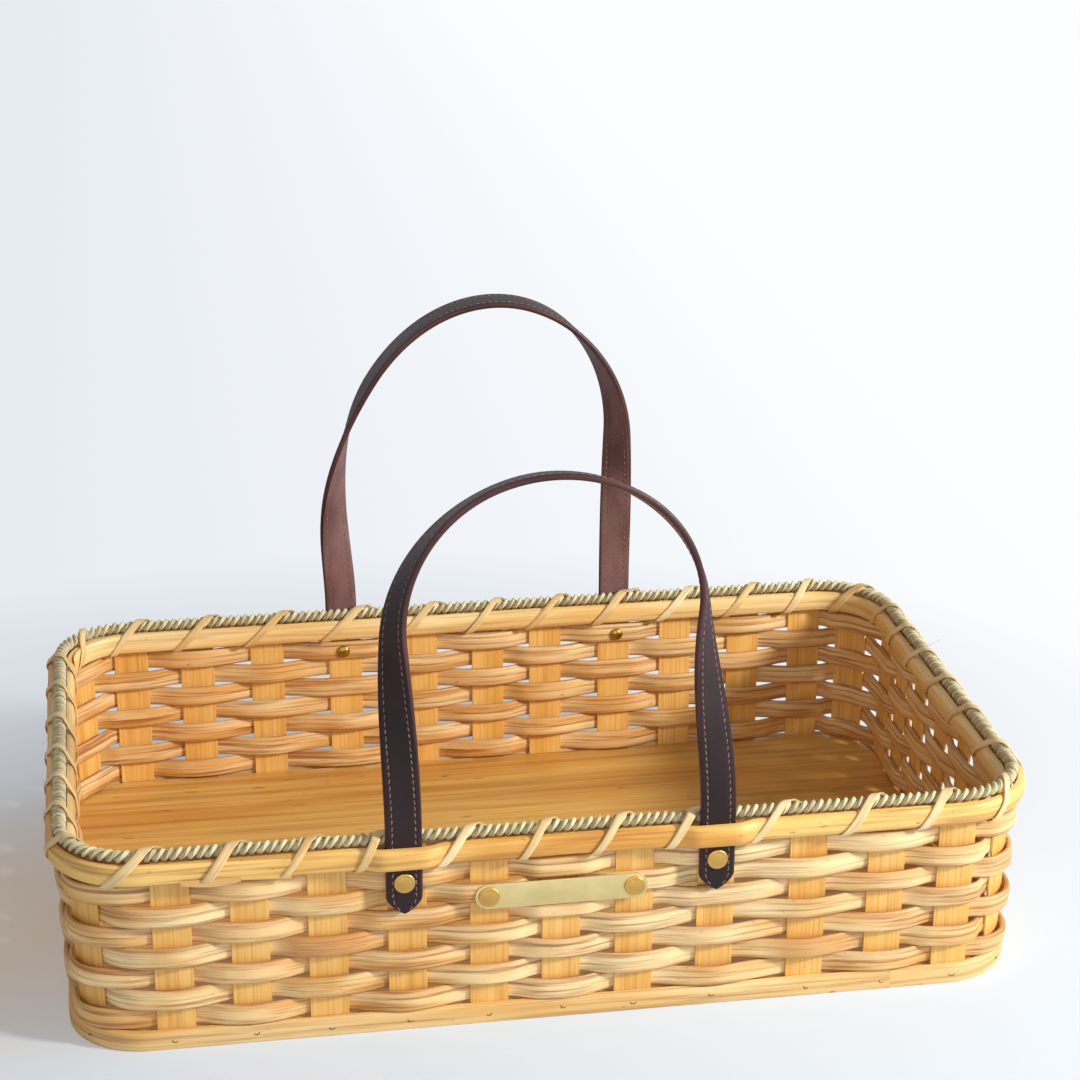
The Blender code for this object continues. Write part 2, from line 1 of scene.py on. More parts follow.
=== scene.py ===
"""The looks of the flower gathering basket: weave, rim, straps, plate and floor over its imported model.

Metres. Places round the wall are given by u, the distance along the wall's centre line at the base,
from the left end of the straight front wall and anticlockwise seen from above.
"""
import math
import random

import bpy
import numpy as np
from mathutils import Matrix, Vector


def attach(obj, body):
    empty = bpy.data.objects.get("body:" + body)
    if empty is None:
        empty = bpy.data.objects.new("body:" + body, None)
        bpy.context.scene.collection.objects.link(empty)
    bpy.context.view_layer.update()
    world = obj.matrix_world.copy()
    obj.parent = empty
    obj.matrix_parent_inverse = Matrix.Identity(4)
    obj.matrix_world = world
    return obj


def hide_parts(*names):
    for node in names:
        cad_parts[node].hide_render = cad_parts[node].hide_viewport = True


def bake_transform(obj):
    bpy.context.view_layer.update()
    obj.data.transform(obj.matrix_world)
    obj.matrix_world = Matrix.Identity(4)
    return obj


MM = 0.001
QUARTER = math.pi / 2

# The wall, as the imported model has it
HALF_LENGTH, HALF_DEPTH, CORNER = 0.270, 0.161, 0.040
RUNS = (2 * (HALF_LENGTH - CORNER), 2 * (HALF_DEPTH - CORNER)) * 2
CORNER_RUN = CORNER * QUARTER
PERIMETER = sum(RUNS) + 4 * CORNER_RUN
FIRST_STAKE_SHARE = 0.337
STAKE_SHARES = (
    0.980, 0.981, 1.014, 1.058, 0.935, 0.955, 1.075, 1.229, 1.056, 0.940,
    0.804, 1.260, 1.070, 1.037, 1.005, 0.891, 0.818, 0.898, 0.743,
    0.980, 1.086, 0.974, 1.079, 0.900, 1.025, 1.169, 1.188, 1.061, 0.983,
    0.819, 0.919, 1.173, 1.103, 0.962, 0.861, 0.862, 0.962, 1.148,
)
PITCH = PERIMETER / sum(STAKE_SHARES)
STAKES = len(STAKE_SHARES)
ROWS, ROWS_BOTTOM, ROW_HEIGHT, ROW_PITCH = 7, 0.0123, 0.01245, 0.013
# How far a row passes inside the wall, and the gap kept between pieces
REED_REACH, CLEAR = 0.0042, 0.0003
RIM_BOTTOM, RIM_TOP = 0.10435, 0.11775
LEAN = 0.003 / RIM_TOP
ROPE_HEIGHT, ROPE_RADIUS = 0.12055, 0.0036
STAKE_TOP, STAKE_WIDTH, STAKE_THIN = 0.11665, 0.022, 0.0007
BAND_FACE, BAND_DEPTH, BAND_BULGE = 0.0039, 0.0045, 0.0043
BAND_MIDDLE, BAND_HALF = (RIM_BOTTOM + RIM_TOP) / 2, (RIM_TOP - RIM_BOTTOM) / 2
BAND_POWER = 2.6
STRAP_CENTRE, STRAP_HALF, STRAP_THIN = 0.0062, 0.01025, 0.0017
STRAP_SHIFTS = (-0.0020, -0.0013, 0.0015, -0.0013)
HINGE = 0.12465
# Where the outer band swings out over a strap: half the span, its margin, and the ramp at each side
SPAN_REACH, SPAN_MARGIN, SPAN_RAMP = 0.0225, 0.002, 0.014

# The handles' loops: leg sways, spring heights, twist lengths, crown shift, crown height and crown twist
FRONT_LOOP = ((-0.0036, -0.0107), (0.2392, 0.2479), (0.2216, 0.2050), -0.0050, 0.3292, math.radians(104))
REAR_LOOP = ((-0.0030, 0.0010), (0.1847, 0.2348), (0.1603, 0.2323), 0.0115, 0.3303, math.radians(93))


def smooth(share):
    """An even ramp from 0 to 1 that starts and ends gently."""
    share = min(1.0, max(0.0, share))
    return share * share * (3 - 2 * share)


def station(u):
    """The point of the base centre line at u, and the direction straight out of the wall there."""
    left = u % PERIMETER
    side = 0
    while left > RUNS[side] + CORNER_RUN and side < 3:
        left -= RUNS[side] + CORNER_RUN
        side += 1
    run = RUNS[side]
    facing = (side - 1) * QUARTER
    ox, oy = math.cos(facing), math.sin(facing)
    depth = (RUNS[0] + RUNS[1] - run) / 2
    if left <= run:
        step = left - run / 2
        return (-oy * step + ox * (depth + CORNER), ox * step + oy * (depth + CORNER), ox, oy)
    bend = facing + (left - run) / CORNER
    sx, sy = math.cos(bend), math.sin(bend)
    return (-oy * run / 2 + ox * depth + sx * CORNER, ox * run / 2 + oy * depth + sy * CORNER, sx, sy)


def wall_point(u, offset, height):
    """A point at a distance outside the wall's leaning centre surface."""
    x, y, ox, oy = station(u)
    reach = offset + LEAN * height
    return (x + ox * reach, y + oy * reach, height)


def row_bottom(row):
    """A row's lower edge; the rows count from the top down."""
    return ROWS_BOTTOM + (ROWS - row) * ROW_PITCH


def stake_places():
    """Each stake's middle, as a distance round the wall."""
    places = [FIRST_STAKE_SHARE * PITCH]
    for share in STAKE_SHARES[:-1]:
        places.append(places[-1] + share * PITCH)
    return places


PLACES = stake_places()
FRONT_STRAPS, BACK_STRAPS = (3, 7), (26, 22)
STRAP_STAKES = FRONT_STRAPS + BACK_STRAPS
STRAP_PLACES = [PLACES[stake] + shift for stake, shift in zip(STRAP_STAKES, STRAP_SHIFTS)]
PLATE_STAKES = (4, 5, 6)
CORNER_STAKES = (11, 18, 30, 37)
RIGHT_STAKES = range(11, 19)


def bulge(u):
    """How far the outer band stands off the wall to let a strap pass under it."""
    nearest = min(abs((u - place + PERIMETER / 2) % PERIMETER - PERIMETER / 2) for place in STRAP_PLACES)
    return BAND_BULGE * smooth((SPAN_REACH + SPAN_MARGIN - nearest) / SPAN_RAMP)


# Nodes and materials
def tone(red, green, blue):
    """A colour given in the photograph's own 0 to 255 values."""
    def linear(value):
        value /= 255
        return value / 12.92 if value <= 0.04045 else ((value + 0.055) / 1.055) ** 2.4
    return (linear(red), linear(green), linear(blue), 1.0)


class Surface:
    """A material's node tree, with short calls for the nodes that these materials share."""

    def __init__(self, name, roughness, metallic=0.0, **constants):
        self.material = bpy.data.materials.new(name)
        self.material.use_nodes = True
        self.tree = self.material.node_tree
        self.shader = self.tree.nodes["Principled BSDF"]
        self.shader.inputs["Roughness"].default_value = roughness
        self.shader.inputs["Metallic"].default_value = metallic
        for socket, value in constants.items():
            self.shader.inputs[socket.replace("_", " ")].default_value = value

    def node(self, kind, inputs=None, **settings):
        made = self.tree.nodes.new(kind)
        for key, value in settings.items():
            setattr(made, key, value)
        for key, value in (inputs or {}).items():
            self.feed(made.inputs[key], value)
        return made

    def feed(self, socket, value):
        if isinstance(value, bpy.types.NodeSocket):
            self.tree.links.new(value, socket)
        else:
            socket.default_value = value

    def place(self, scale, shift=(0, 0, 0), source="UV"):
        found = self.node("ShaderNodeTexCoord").outputs[source]
        moved = self.node("ShaderNodeMapping", {0: found, 1: shift, 3: scale})
        return moved.outputs[0]

    def along_uv(self, axis):
        """The u (0) or v (1) of the texture's place, in metres."""
        found = self.node("ShaderNodeTexCoord").outputs["UV"]
        return self.node("ShaderNodeSeparateXYZ", {0: found}).outputs[axis]

    def noise(self, scale, detail=2.0, rough=0.5, shift=(0, 0, 0), source="UV", warp=0.0):
        made = self.node("ShaderNodeTexNoise", {"Vector": self.place(scale, shift, source), "Scale": 1.0,
                                                "Detail": detail, "Roughness": rough, "Distortion": warp})
        return made.outputs["Fac"]

    def ramp(self, value, *stops):
        made = self.node("ShaderNodeValToRGB", {0: value})
        band = made.color_ramp
        band.elements[0].position, band.elements[1].position = stops[0][0], stops[-1][0]
        for stop in stops[1:-1]:
            band.elements.new(stop[0])
        for element, (_, shade) in zip(band.elements, stops):
            element.color = shade if isinstance(shade, tuple) else (shade, shade, shade, 1.0)
        return made.outputs[0]

    def math(self, operation, a, b=0.0):
        return self.node("ShaderNodeMath", {0: a, 1: b}, operation=operation).outputs[0]

    def mix(self, share, a, b, blend="MIX"):
        made = self.node("ShaderNodeMix", data_type="RGBA", blend_type=blend)
        self.feed(made.inputs[0], share)
        self.feed(made.inputs[6], a)
        self.feed(made.inputs[7], b)
        return made.outputs[2]

    def finish(self, colour, height=None, strength=0.4, depth=0.0004, roughness=None):
        self.feed(self.shader.inputs["Base Color"], colour)
        if roughness is not None:
            self.feed(self.shader.inputs["Roughness"], roughness)
        if height is not None:
            lump = self.node("ShaderNodeBump", {"Height": height, "Strength": strength, "Distance": depth})
            self.feed(self.shader.inputs["Normal"], lump.outputs[0])
        return self.material


def wood(name, light, mid, line, along=12.0, across=380.0, lines=0.55, fine=0.12, flecks=0.5,
         fleck=(170, 96, 40), roughness=0.55, strength=0.45, source="UV", stain=None, round_by=None):
    """Wood or reed with its grain along u or x: broad tones, brown lines, fine fibres and small flecks.

    stain is a place along u, how far it reaches and its colour; round_by is the distance round a reed's
    section, whose top and bottom edges get painted shade, as if from the rows beside them.
    """
    s = Surface(name, roughness)

    def scaled(run, cross):
        return (run, cross, 1.0 if source == "UV" else cross)

    broad = s.noise(scaled(along * 0.8, across * 0.13), 2, 0.5, (3.1, 1.7, 0.4), source, 0.4)
    streak = s.noise(scaled(along, across), 3, 0.55, (0.3, 4.2, 2.0), source, 0.3)
    fibre = s.noise(scaled(along * 3, across * 4.5), 2, 0.6, (1.3, 0.2, 5.0), source)
    spot = s.noise(scaled(along * 12, across * 1.1), 2, 0.5, (7.7, 2.2, 1.0), source)
    colour = s.mix(s.ramp(broad, (0.34, 0.0), (0.62, 1.0)), tone(*mid), tone(*light))
    line_mask = s.ramp(streak, (0.47, 0.0), (0.66, lines))
    colour = s.mix(line_mask, colour, tone(*line))
    colour = s.mix(s.ramp(fibre, (0.35, 0.0), (0.75, fine)), colour, tone(*line))
    colour = s.mix(s.ramp(spot, (0.68, 0.0), (0.76, flecks)), colour, tone(*fleck))
    # Painted shade: the reed's top and bottom edges, where the rows meet, are darkened towards the line
    # colour
    if round_by:
        over = s.math("MULTIPLY", s.along_uv(1), 1 / round_by)
        wear_and_edge_shade = s.math("ADD", over, s.math("MULTIPLY", s.math("SUBTRACT", broad, 0.5), 0.12))
        edge = s.ramp(wear_and_edge_shade, (0.06, 0.15), (0.24, 0.85), (0.38, 0.0), (0.62, 0.0), (0.76, 0.85), (0.94, 0.15))
        colour = s.mix(s.math("MULTIPLY", edge, 0.45), colour, tone(*line))
    if stain:
        place, reach, shade = stain
        away = s.math("ABSOLUTE", s.math("SUBTRACT", s.along_uv(0), place))
        share = s.ramp(s.math("DIVIDE", away, reach), (0.55, 0.75), (1.0, 0.0))
        share = s.math("MULTIPLY", share, s.ramp(broad, (0.3, 0.35), (0.6, 1.0)))
        colour = s.mix(share, colour, tone(*shade))
    height = s.math("SUBTRACT", s.math("MULTIPLY", fibre, 0.35), s.math("MULTIPLY", line_mask, 0.9))
    rough = s.ramp(fibre, (0.3, roughness - 0.06), (0.7, roughness + 0.1))
    return s.finish(colour, height, strength, 0.0005, rough)


def rope_fibre(name, light, dark):
    """Dry grass fibre, streaked along the strand."""
    s = Surface(name, 0.8)
    strand = s.noise((70.0, 900.0, 1.0), 3, 0.6, warp=0.4)
    patch = s.noise((14.0, 30.0, 1.0), 2, 0.5, (5, 1, 0))
    colour = s.mix(s.ramp(strand, (0.36, 0.0), (0.64, 1.0)), tone(*dark), tone(*light))
    colour = s.mix(s.ramp(patch, (0.5, 0.0), (0.75, 0.45)), colour, tone(196, 186, 150))
    return s.finish(colour, strand, 0.7, 0.0005)


def leather(name, dark, light, roughness):
    """Smooth leather with fine pores."""
    s = Surface(name, roughness, Specular_IOR_Level=0.32)
    cells = s.node("ShaderNodeTexVoronoi", {"Vector": s.place((900, 900, 900)), "Scale": 1.0})
    pores = cells.outputs["Distance"]
    grain = s.noise((420, 420, 1), 4, 0.6)
    broad = s.noise((22, 40, 1), 2, 0.5, (2, 6, 0))
    colour = s.mix(s.ramp(broad, (0.35, 0.0), (0.68, 1.0)), tone(*dark), tone(*light))
    colour = s.mix(s.ramp(grain, (0.45, 0.0), (0.8, 0.3)), colour, tone(*[c * 0.6 for c in dark]))
    height = s.math("ADD", s.math("MULTIPLY", pores, 0.5), grain)
    rough = s.ramp(grain, (0.3, roughness - 0.05), (0.7, roughness + 0.1))
    return s.finish(colour, height, 0.22, 0.0003, rough)


def brass(name, colour, roughness, scratch=0.12, metallic=1.0):
    """Slightly worn metal, in patches of two tones."""
    s = Surface(name, roughness, metallic)
    wear_and_edge_shade = s.noise((260, 260, 260), 3, 0.6, source="Object")
    broad = s.noise((60, 60, 60), 2, 0.5, source="Object")
    shade = s.mix(s.ramp(broad, (0.35, 0.0), (0.7, 0.35)), tone(*colour), tone(*[c * 0.8 for c in colour]))
    rough = s.ramp(wear_and_edge_shade, (0.3, roughness - scratch / 2), (0.7, roughness + scratch))
    return s.finish(shade, wear_and_edge_shade, 0.08, 0.0002, rough)


def thread(name):
    """Waxed brown sewing thread."""
    s = Surface(name, 0.7)
    twist = s.noise((900, 300, 1), 2, 0.5)
    return s.finish(s.mix(s.ramp(twist, (0.4, 0.0), (0.65, 1.0)), tone(116, 78, 70), tone(160, 116, 104)),
                    twist, 0.5, 0.0002)


# Meshes
def build(name, bodies, surfaces, body="basket", stands_for=(), sharp=55.0):
    """One object of one or more lofts, each (sections, along, across, ring, face slots).

    A loft joins its sections in turn, as a closed ring or with capped ends. along and across are its
    texture's u and v in metres, so the grain follows the piece.
    """
    points, faces, places, slots = [], [], [], []
    for shape, along, across, ring, kinds in bodies:
        shape = np.asarray(shape, float)
        along, across = np.asarray(along, float), np.asarray(across, float)
        count, width = shape.shape[:2]
        spans = count if ring else count - 1
        i, j = [grid.ravel() for grid in np.meshgrid(np.arange(spans), np.arange(width), indexing="ij")]
        ni, nj = (i + 1) % count, (j + 1) % width
        quads = np.stack([i * width + j, i * width + nj, ni * width + nj, ni * width + j], axis=1)
        uv = np.stack([np.stack([along[i], along[i], along[i + 1], along[i + 1]], axis=1),
                       np.stack([across[j], across[j + 1], across[j + 1], across[j]], axis=1)], axis=2)
        flat = shape.reshape(-1, 3)
        a, b, c, d = (flat[quads[:, n]] for n in range(4))
        volume = np.sum(np.cross(a, b) * c) + np.sum(np.cross(a, c) * d)
        caps = [] if ring else [list(range(width))[::-1], list(range((count - 1) * width, count * width))]
        cap_uv = [[(along[0], across[n]) for n in range(width)][::-1],
                  [(along[-1], across[n]) for n in range(width)]]
        if volume < 0:
            quads, uv = quads[:, ::-1], uv[:, ::-1]
            caps, cap_uv = [cap[::-1] for cap in caps], [row[::-1] for row in cap_uv]
        base = len(points)
        points += flat.tolist()
        faces += (quads + base).tolist() + [[n + base for n in cap] for cap in caps]
        places += uv.reshape(-1, 2).tolist()
        for cap, row in zip(caps, cap_uv):
            places += [list(pair) for pair in row]
        kinds = np.zeros(width, int) if kinds is None else np.asarray(kinds)
        slots += kinds[j].tolist() + [int(kinds[0])] * len(caps)
    mesh = bpy.data.meshes.new(name)
    mesh.from_pydata(points, [], faces)
    layer = mesh.uv_layers.new(name="UVMap")
    layer.data.foreach_set("uv", np.asarray(places, np.float32).ravel())
    mesh.polygons.foreach_set("material_index", np.asarray(slots, np.int32))
    mesh.shade_smooth()
    mesh.set_sharp_from_angle(angle=math.radians(sharp))
    for surface in surfaces if isinstance(surfaces, (list, tuple)) else [surfaces]:
        mesh.materials.append(surface)
    mesh.update()
    made = bpy.data.objects.new(name, mesh)
    bpy.context.scene.collection.objects.link(made)
    if body:
        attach(made, body)
    if stands_for:
        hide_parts(*stands_for)
    return made


def travelled(points):
    """Distances along a line of points, from its first."""
    steps = np.linalg.norm(np.diff(np.asarray(points, float), axis=0), axis=1)
    return np.concatenate([[0.0], np.cumsum(steps)])


def run_lengths(profile):
    """Distances round a closed profile, for the v of its texture."""
    return travelled([*profile, profile[0]])


def squared_circle(angle, power):
    """A point at an angle on a circle of radius 1 that a power above 2 makes squarer."""
    c, s = math.cos(angle), math.sin(angle)
    return math.copysign(abs(c) ** (2 / power), c), math.copysign(abs(s) ** (2 / power), s)


def oval(thickness, height, power, count=16):
    """A flat oval outline, as (through, up) pairs, from the inner side's middle."""
    rows = [squared_circle(math.pi + 2 * math.pi * step / count, power) for step in range(count)]
    return [(through * thickness / 2, up * height / 2) for through, up in rows]


def weaver(name, row, low, high, thickness, surface, seed, bow, edge, stands_for):
    """A reed ring over one stake and under the next: bowed over each stake, crossing the wall between two.

    edge is how far from the wall's middle the reed lies at a stake's edges, and bow at its middle. It lies
    close under the straps, under the plate and inside the right wall.
    """
    dice = random.Random(seed)
    half = STAKE_WIDTH / 2 + 1.0 * MM
    crowns, lifts, tilts, widths = [], [], [], []
    for k in range(STAKES):
        pressed = (k in STRAP_STAKES or k in PLATE_STAKES) and row in (0, 1, 2, 3)
        near = min(STAKE_SHARES[k], STAKE_SHARES[k - 1])
        free = bow * min(1.0, 0.55 + 0.45 * near) + dice.uniform(-0.35, 0.35) * MM
        free += 1.1 * MM if k in CORNER_STAKES else 0.0
        tight = k in RIGHT_STAKES and (row + k) % 2 == 1
        crowns.append(edge if pressed or tight or row == 0 else max(edge, free))
        lifts.append(dice.uniform(-0.22, 0.22) * MM)
        tilts.append(dice.uniform(-0.05, 0.07))
        widths.append(1 - dice.uniform(0.0, 0.05))
    sections, along = [], []
    middle, height = (low + high) / 2, high - low
    outline = oval(thickness, height, 3.5)
    first = 1 - row % 2
    for k in [(first + n) % STAKES for n in range(STAKES)]:
        start = PLACES[k] + (PERIMETER if k < first else 0)
        stop = start + (PLACES[(k + 1) % STAKES] - PLACES[k]) % PERIMETER
        side = 1 if (row + k) % 2 == 0 else -1
        following = (k + 1) % STAKES
        rise, next_rise = crowns[k] - edge, crowns[following] - edge
        gap = stop - start - 2 * half
        steps = max(12, round((stop - start) / (2.6 * MM)))
        for step in range(steps):
            gone = (stop - start) * step / steps
            u = start + gone
            if gone <= half:
                offset = side * (edge + rise * math.cos(QUARTER * gone / half))
            elif stop - u <= half:
                offset = -side * (edge + next_rise * math.cos(QUARTER * (stop - u) / half))
            else:
                t = (gone - half) / gap
                swing = rise * (t**3 - 2 * t**2 + t) + next_rise * (t**3 - t**2)
                offset = side * (edge * (1 - 2 * smooth(t)) - swing * QUARTER / half * gap)
            share = smooth(step / steps)
            lift = lifts[k] + (lifts[following] - lifts[k]) * share
            tilt = side * tilts[k] * (1 - share) - side * tilts[following] * share
            wide = widths[k] + (widths[following] - widths[k]) * share
            sections.append([wall_point(u, offset + through + up * tilt, middle + lift + up * wide)
                             for through, up in outline])
            along.append(u)
    along.append(PLACES[first] + PERIMETER)
    return build(name, [(sections, along, run_lengths(outline), True, None)], surface,
                 stands_for=stands_for)


def make_rows():
    """Seven rows of reed, each in a slightly other tone, and the filler row between the bands."""
    stains = {4: (PLACES[2], 34 * MM, (181, 104, 38)), 6: (PLACES[8] + 4 * MM, 30 * MM, (196, 132, 66))}
    for row, warm in zip(range(1, ROWS + 1), (0, 3, -3, 2, -2, 3, -1)):
        reed = wood(f"weaver_reed_{row}", (250, 219 + warm, 163 + warm), (228, 174 + warm, 98 + warm),
                    (152, 88, 34), along=11 + row, across=360, lines=0.8, roughness=0.5,
                    round_by=27.8 * MM, stain=stains.get(row))
        low, high = row_bottom(row) - 0.2 * MM, row_bottom(row) + ROW_HEIGHT + 0.2 * MM
        weaver(f"reed_row_{row}", row, low, high, 3.6 * MM, reed, 100 + row, 3.9 * MM, 2.6 * MM,
               (f"weaver_row_{row}",))
    weaver("reed_filler_row", 0, RIM_BOTTOM, STAKE_TOP, 2.3 * MM, reed, 100, 2.2 * MM, 2.15 * MM,
           ("rim_filler_row",))


def stake_names():
    """The stakes' node names, in their order round the wall."""
    names = []
    for wall, count in (("front", 11), ("right", 6), ("back", 11), ("left", 6)):
        names += [f"stake_{wall}_{number:02d}" for number in range(1, count + 1)]
        names.append(f"stake_corner_after_{wall}")
    return names


def make_stakes(surface):
    """Upright strips with rounded edges."""
    dice = random.Random(41)
    foot, rounding, apart = 0.6 * MM, 0.25 * MM, 1.37
    for index, (name, place) in enumerate(zip(stake_names(), PLACES)):
        width = STAKE_WIDTH / 2 * dice.uniform(0.975, 1.0)
        skew = dice.uniform(-0.35, 0.35) * MM
        face = [(-width + 2 * width * step / 8, STAKE_THIN) for step in range(9)]
        face[0], face[-1] = (-width + rounding, STAKE_THIN), (width - rounding, STAKE_THIN)
        outline = [(-width, 0.0)] + face + [(width, 0.0)] + [(a, -b) for a, b in reversed(face)]
        sections, along = [], []
        for step in range(13):
            height = foot + (STAKE_TOP - foot) * step / 12
            drift = skew * (step / 12 - 0.5)
            sections.append([wall_point(place + a + drift, b, height) for a, b in outline])
            along.append(height + index * apart)
        build(name.replace("stake", "wood_stake"), [(sections, along, run_lengths(outline), False, None)],
              surface, stands_for=(name,))


def lapped_ring(name, outline_at, start, lap, surface, stands_for):
    """A strip bent right round the wall, its two thinned ends lying on each other for a short way."""
    total = PERIMETER + lap
    count = round(total / (3.2 * MM))
    sections, along = [], []
    for n in range(count + 1):
        gone = total * n / count
        first = min(1.0, gone / lap)
        last = min(1.0, (total - gone) / lap)
        outline = outline_at(start + gone, first, last)
        sections.append([wall_point(start + gone, a, b) for a, b in outline])
        along.append(gone)
    return build(name, [(sections, along, run_lengths(outline_at(start + total / 2, 1.0, 1.0)), False, None)],
                 surface, stands_for=stands_for)


def ripple(dice, count, rates, sizes):
    """A slight uneven rise and fall along u, as a function of u."""
    waves = [(dice.uniform(*rates), dice.uniform(0, 6), dice.uniform(*sizes) * MM) for _ in range(count)]
    return lambda u: sum(size * math.sin(rate * u + turn) for rate, turn, size in waves)


def brad_mark(u, height, turn, size, out):
    """The curved edge that a brad's bent head leaves, as one loft."""
    rings = []
    for step in range(9):
        angle = math.pi * (1 + step / 8) + turn
        thin = 0.42 * MM * (0.4 + 0.6 * math.sin(math.pi * step / 8))
        c, s = math.cos(angle), math.sin(angle)
        rings.append([wall_point(u + (size + thin * a) * c, out + thin * b * 0.6,
                                 height + (size + thin * a) * s * 0.8)
                      for a, b in ((-1, 0), (0, 1), (1, 0), (0, -1))])
    return rings, [n * 0.6 * MM for n in range(9)], [n * 0.4 * MM for n in range(5)], False, None


def make_base_band(surface, mark):
    """The strip round the foot of the wall, with a brad at each stake."""
    seat, thick, high = 1.0 * MM, 3.5 * MM, 11.8 * MM
    dice = random.Random(9)
    wave = ripple(dice, 5, (9, 30), (0.05, 0.12))

    def outline(u, first, last):
        inner = seat + (thick * (1 - last) if last < 1 else 0)
        outer = seat + thick * max(0.12, first) + (0.12 * MM if last < 1 else 0)
        outer = max(outer, inner + 0.25 * MM)
        top = high + wave(u)
        return [(inner, 0.2 * MM), (outer - 0.5 * MM, 0.1 * MM), (outer, 0.8 * MM),
                (outer + 0.1 * MM, 3 * MM), (outer + 0.05 * MM, 6 * MM), (outer, top - 2.2 * MM),
                (outer - 0.25 * MM, top - 1.0 * MM), (outer - (outer - inner) * 0.35, top - 0.2 * MM),
                (inner, top)]

    start, lap = PLACES[8] + 6 * MM, 45 * MM
    lapped_ring("base_strip", outline, start, lap, surface, ("base_band",))
    bodies = []
    for place in PLACES:
        u, height = place + dice.uniform(-1.5, 1.5) * MM, dice.uniform(5.6, 7.0) * MM
        turn, size = dice.uniform(-0.5, 0.5), dice.uniform(1.3, 1.7) * MM
        bodies.append(brad_mark(u, height, turn, size, seat + thick + 0.16 * MM))
    build("base_brads", bodies, mark)


def turned(u, height, profile):
    """A body turned about the line straight out of the wall at u, as a loft for build."""
    sides = 28
    x, y, ox, oy = station(u)
    sections = []
    for offset, radius in profile:
        reach = offset + LEAN * height
        ring = []
        for n in range(sides):
            angle = 2 * math.pi * n / sides
            side, up = radius * math.cos(angle), radius * math.sin(angle)
            ring.append((x + ox * reach - oy * side, y + oy * reach + ox * side, height + up))
        sections.append(ring)
    across = 2 * math.pi / sides * max(radius for _, radius in profile)
    return sections, travelled(profile), [across * n for n in range(sides + 1)], False, None


def half_round(count=13):
    """A half-round band's outline: (distance from its flat face, height share from -1 to 1)."""
    return [squared_circle(-QUARTER + math.pi * step / (count - 1), BAND_POWER) for step in range(count)]


def make_bands(surface, inner_surface, shaving):
    """The two half-round bands, pared thin where their ends lap, and a loose shaving under the outer one."""
    ripples = ripple(random.Random(17), 6, (12, 60), (0.05, 0.13))

    def band(side, stretch, stand_off):
        """One band's outline at any place: side is 1 outside and -1 inside."""
        def outline(u, first, last):
            wave = ripples(u * stretch)
            face = BAND_FACE + stand_off(u) + (BAND_DEPTH * (1 - last) if last < 1 else 0)
            depth = BAND_DEPTH * max(0.1, first) if first < 1 else BAND_DEPTH * max(0.12, last) + wave
            high = BAND_HALF * (0.985 + wave * 60)
            return [(side * (face + depth * through), BAND_MIDDLE + high * up)
                    for through, up in half_round()]
        return outline

    after, lap = 14 * MM, 52 * MM
    lapped_ring("rim_strip_outer", band(1, 1.0, bulge), PLACES[0] + after, lap, surface,
                ("outer_rim_band",))
    lapped_ring("rim_strip_inner", band(-1, 1.3, lambda u: 0.0), PLACES[29] + after, lap, inner_surface,
                ("inner_rim_band",))
    sections, along = [], []
    start, stop = PLACES[0] + 6 * MM, PLACES[1] - 4 * MM
    for step in range(25):
        t = step / 24
        u = start + (stop - start) * t
        swell = math.sin(math.pi * t) ** 0.8
        low = RIM_BOTTOM + 0.6 * MM - 2.1 * MM * swell
        out = BAND_FACE + BAND_DEPTH * 0.86 + 0.2 * MM
        high = RIM_BOTTOM + 3.0 * MM
        sections.append([wall_point(u, out + a * MM, height) for a, height in
                         ((0, low), (0.45, low + 0.1 * MM), (0.62, high), (0.2, high + 0.3 * MM))])
        along.append(u + 5)
    build("rim_shaving", [(sections, along, [0, 0.5 * MM, 3 * MM, 3.5 * MM, 6 * MM], False, None)], shaving)


def make_rope(pale, dark):
    """Two strands twisted round each other all the way round the rim; the second strand's darker colours are
    painted shade.
    """
    turns = round(PERIMETER / (9.4 * MM))
    per_turn, sides, stretch = 16, 10, 1.9
    radius, swing = 2.05 * MM, 1.75 * MM
    bodies = []
    for strand in range(2):
        sections, along = [], []
        for n in range(turns * per_turn):
            u = PERIMETER * n / (turns * per_turn)
            angle = 2 * math.pi * (n / per_turn + strand / 2)
            a, b = swing * math.cos(angle), swing * math.sin(angle)
            sections.append([wall_point(u, a + radius * math.cos(t), ROPE_HEIGHT + b + radius * math.sin(t))
                             for t in (2 * math.pi * m / sides + angle for m in range(sides))])
            along.append(u * stretch + strand * 4)
        along.append(PERIMETER * stretch + strand * 4)
        bodies.append((sections, along, [2 * math.pi * radius * m / sides for m in range(sides + 1)], True,
                       [strand] * sides))
    build("rim_rope_twist", bodies, [pale, dark], stands_for=("rim_rope",), sharp=80)


def make_stray_fibres(hair):
    """A few hairs of rope and cane that stand up from the rim."""
    dice = random.Random(5)
    spots = [PERIMETER - before * MM for before in (62, 75, 110, 150, 200)]
    spots += [PLACES[stake] + after * MM for stake, after in
              ((2, 20), (2, 25), (21, 10), (23, 0), (24, 12), (18, 0), (19, 15), (30, 0), (33, 10), (34, 0),
               (15, 0), (9, 20))]
    strays = []
    for spot in spots:
        for _ in range(dice.choice((1, 2))):
            u = spot + dice.uniform(-4, 4) * MM
            out, up, run = dice.uniform(-0.4, 1.0), dice.uniform(0.1, 1.0), dice.uniform(-1.0, 1.0)
            length, droop = dice.uniform(6, 13) * MM, dice.uniform(1, 5) * MM
            thick = dice.uniform(0.09, 0.16) * MM
            sections = []
            for step in range(8):
                t = step / 7
                offset = 2.6 * MM * out + out * length * t
                height = ROPE_HEIGHT + 2.4 * MM + up * length * t * 0.6 - droop * t * t
                slim = thick * (1 - 0.6 * t)
                sections.append([wall_point(u + run * length * t, offset + slim * math.cos(a),
                                            height + slim * math.sin(a)) for a in (0.0, 2.1, 4.2)])
            strays.append((sections, [n * MM for n in range(8)], [n * 0.3 * MM for n in range(4)], False,
                           None))
    build("rim_stray_fibres", strays, hair, sharp=80)


